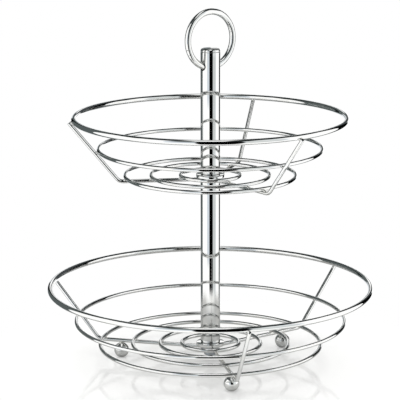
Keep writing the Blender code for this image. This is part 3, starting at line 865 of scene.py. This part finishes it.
def studio_world():
    """What the plate mirrors, painted on the sky as screens that cover one another.

    White and pale screens stand round the front, with a dark slot that the camera looks through. A
    strip of light runs overhead, a pale backdrop stands low behind, and the rest is an unlit room.
    Panels near the stand are objects of their own. The camera sees plain white, and matt surfaces
    an even light.
    """
    studio = settings().studio
    world = bpy.data.worlds.new("studio")
    world.use_nodes = True
    tree = world.node_tree
    tree.nodes.clear()
    sky = add_node(tree, "ShaderNodeTexCoord").outputs["Generated"]
    way = add_node(tree, "ShaderNodeSeparateXYZ", {0: sky})
    to_camera = add_node(tree, "ShaderNodeMath", {0: way.outputs["Y"], 1: -1.0}, operation="MULTIPLY")
    azimuth = add_node(tree, "ShaderNodeMath", {0: way.outputs["X"], 1: to_camera.outputs["Value"]},
                       operation="ARCTAN2").outputs["Value"]
    aside = add_node(tree, "ShaderNodeMath", {0: azimuth}, operation="ABSOLUTE").outputs["Value"]
    height = add_node(tree, "ShaderNodeMath", {0: way.outputs["Z"]},
                      operation="ARCSINE").outputs["Value"]
    over = add_node(tree, "ShaderNodeMath", {0: way.outputs["Z"], 1: to_camera.outputs["Value"]},
                    operation="ARCTAN2").outputs["Value"]
    white = white_light()
    # Each row has a direction with its range, a second one with its range, the softness of the
    # edges, all in degrees, and the colour. An azimuth is 0 towards the camera and positive to the
    # right, aside is the same to either side, height is above the horizon, and over runs from the
    # camera's side up and across the top, where X is the angle to its right in radians.
    screens = (
        # The room on the right, and the ceiling
        (azimuth, 0, 200, height, -100, 100, 1.5, studio.right_room),
        (azimuth, 100, 200, height, -100, -16, 3, studio.right_low),
        (aside, -10, 200, height, 38, 100, 8, studio.ceiling),
        # Cloth beside the slot, with its bright, shaded and unlit parts
        (azimuth, -60, 70, height, -32, 50, 1.5, studio.pale_screen),
        (azimuth, 28, 62, height, -32, 50, 5, studio.bright_screen),
        (azimuth, 28, 62, height, -21, 1, 5, studio.grey_screen),
        (azimuth, -34, 42, height, 35, 60, 4, studio.ceiling),
        (azimuth, -34, -10, height, 18, 60, 10, studio.screen_top),
        # White low beside the slot, on the left, on the right and below the front
        (azimuth, -42, -11, height, -40, -14, 1.5, white),
        (azimuth, -75, -38, height, -32, 48, 1.5, white),
        (azimuth, 66, 90, height, -32, 48, 4, white),
        (aside, -10, 96, height, -100, -30, 3, white),
        # The backdrop behind, and a narrow strip above it
        (azimuth, -200, -160, height, -28, 6, 2.5, studio.backdrop),
        (azimuth, 153, 200, height, -30, 7.5, 2.5, white),
        (aside, 172, 200, height, 13.5, 19, 1.5, white),
        # The slot, and the strip overhead
        (azimuth, -12, 28, height, -62, 44, 1.5, studio.slot),
        (way.outputs["X"], -9, 9, over, 62, 112, 1.5, white),
    )
    light = opaque(studio.left_room)
    for first, start, end, second, bottom, top, soft, colour in screens:
        inside = 1.0
        for value, low, high in ((first, start, end), (second, bottom, top)):
            for edge, below, above in ((low, 0.0, 1.0), (high, 1.0, 0.0)):
                gate = add_node(tree, "ShaderNodeMapRange", {
                    "Value": value, "From Min": math.radians(edge - soft),
                    "From Max": math.radians(edge + soft), "To Min": below, "To Max": above},
                    interpolation_type="SMOOTHSTEP")
                inside = add_node(tree, "ShaderNodeMath", {0: inside, 1: gate.outputs["Result"]},
                                  operation="MULTIPLY").outputs["Value"]
        light = add_node(tree, "ShaderNodeMix", {"Factor": inside, "A": light, "B": opaque(colour)},
                         data_type="RGBA").outputs["Result"]
    path = add_node(tree, "ShaderNodeLightPath")
    room = add_node(tree, "ShaderNodeMix", {
        "Factor": path.outputs["Is Diffuse Ray"], "A": light, "B": opaque((studio.ambient,) * 3)},
        data_type="RGBA")
    shown = add_node(tree, "ShaderNodeMix", {
        "Factor": path.outputs["Is Camera Ray"], "A": room.outputs["Result"], "B": (1, 1, 1, 1)},
        data_type="RGBA")
    background = add_node(tree, "ShaderNodeBackground", {
        "Color": shown.outputs["Result"], "Strength": 1.0})
    add_node(tree, "ShaderNodeOutputWorld", {"Surface": background.outputs["Background"]})
    bpy.context.scene.world = world


def add_panel(name, start, end, bottom, top, lean, colour):
    """An evenly lit upright panel between two points of the floor plan, seen only in the plate.

    Its end edge leans back towards the start by a share of its height.
    """
    material, tree = start_material(name)
    light = add_node(tree, "ShaderNodeEmission", {"Color": opaque(colour), "Strength": 1.0})
    add_node(tree, "ShaderNodeOutputMaterial", {"Surface": light.outputs["Emission"]})
    back = (Vector(start) - Vector(end)).normalized() * lean * (top - bottom)
    shape = bmesh.new()
    corners = ((*start, bottom), (*end, bottom), (*(Vector(end) + back), top), (*start, top))
    shape.faces.new([shape.verts.new(corner) for corner in corners])
    panel = add_object(shape, name, material)
    panel.visible_camera = False
    panel.visible_diffuse = False
    panel.visible_shadow = False


class STAND_OT_stage(bpy.types.Operator):
    """Set the table, the light and the camera"""
    bl_idname = "fruit_stand.stage"
    bl_label = "Studio"

    def execute(self, context):
        studio = settings().studio
        shape = bmesh.new()
        bmesh.ops.create_circle(shape, cap_ends=True, segments=TABLE_STEPS,
                                radius=studio.table_radius)
        add_object(shape, "tabletop", table_material())

        lamp_data = bpy.data.lights.new("overhead_softbox", "AREA")
        lamp_data.shape = "DISK"
        lamp_data.size = studio.overhead_size
        lamp_data.energy = studio.overhead
        lamp = bpy.data.objects.new("overhead_softbox", lamp_data)
        lamp.location = studio.overhead_place
        lamp.rotation_euler = (-lamp.location).to_track_quat("-Z", "Y").to_euler()
        lamp.visible_glossy = False
        lamp.visible_camera = False
        context.scene.collection.objects.link(lamp)

        studio_world()
        # Start and end in the floor plan, bottom, top, lean and colour
        panels = {
            "left_panel": ((-0.58, -0.75), (-0.58, 0.165), -0.35, 0.68, 0.12, white_light()),
            "left_flag": ((-0.45, 0.70), (-0.33, 0.77), 0.0, 0.8, 0.0, studio.flag),
            "right_panel": ((0.486, -0.21), (0.486, 0.23), -0.35, 0.62, 0.0, white_light()),
            "right_flag": ((0.487, 0.23), (0.487, 0.60), -0.08, 0.82, 0.0, studio.flag),
        }
        for name, panel in panels.items():
            add_panel(name, *panel)

        camera_data = bpy.data.cameras.new("camera")
        camera_data.sensor_width = SENSOR_MM
        camera_data.lens = studio.focal_mm
        camera = bpy.data.objects.new("camera", camera_data)
        yaw = Matrix.Rotation(studio.camera_yaw, 4, "Z")
        tilt = Matrix.Rotation(math.pi / 2 - studio.camera_pitch, 4, "X")
        roll = Matrix.Rotation(studio.camera_roll, 4, "Z")
        camera.matrix_world = Matrix.Translation(studio.camera_place) @ yaw @ tilt @ roll
        context.scene.collection.objects.link(camera)
        context.scene.camera = camera
        context.scene.view_settings.view_transform = "Standard"
        return {"FINISHED"}


OPERATORS = (STAND_OT_rings, STAND_OT_legs, STAND_OT_welds, STAND_OT_feet, STAND_OT_hub_discs,
             STAND_OT_tubes, STAND_OT_top_cap, STAND_OT_ring_handle, STAND_OT_fasteners,
             STAND_OT_stage)


class STAND_PT_panel(bpy.types.Panel):
    """The fruit stand's pieces and sizes in the sidebar"""
    bl_idname = "STAND_PT_panel"
    bl_label = "Fruit stand"
    bl_space_type = "VIEW_3D"
    bl_region_type = "UI"
    bl_category = "Fruit stand"

    def draw(self, context):
        for group in FruitStand.__annotations__:
            box = self.layout.box()
            values = getattr(settings(), group)
            for name in values.__annotations__:
                box.prop(values, name)
        for operator in OPERATORS:
            self.layout.operator(operator.bl_idname)


CLASSES = (WireSizes, WeldSizes, ColumnSizes, Finishes, Studio, FruitStand, *OPERATORS,
           STAND_PT_panel)


def register():
    for cls in CLASSES:
        bpy.utils.register_class(cls)
    bpy.types.Scene.fruit_stand = PointerProperty(type=FruitStand)


def unregister():
    del bpy.types.Scene.fruit_stand
    for cls in reversed(CLASSES):
        bpy.utils.unregister_class(cls)


def main():
    register()
    for operator in OPERATORS:
        group, step = operator.bl_idname.split(".")
        getattr(getattr(bpy.ops, group), step)()


if __name__ == "__main__":
    main()
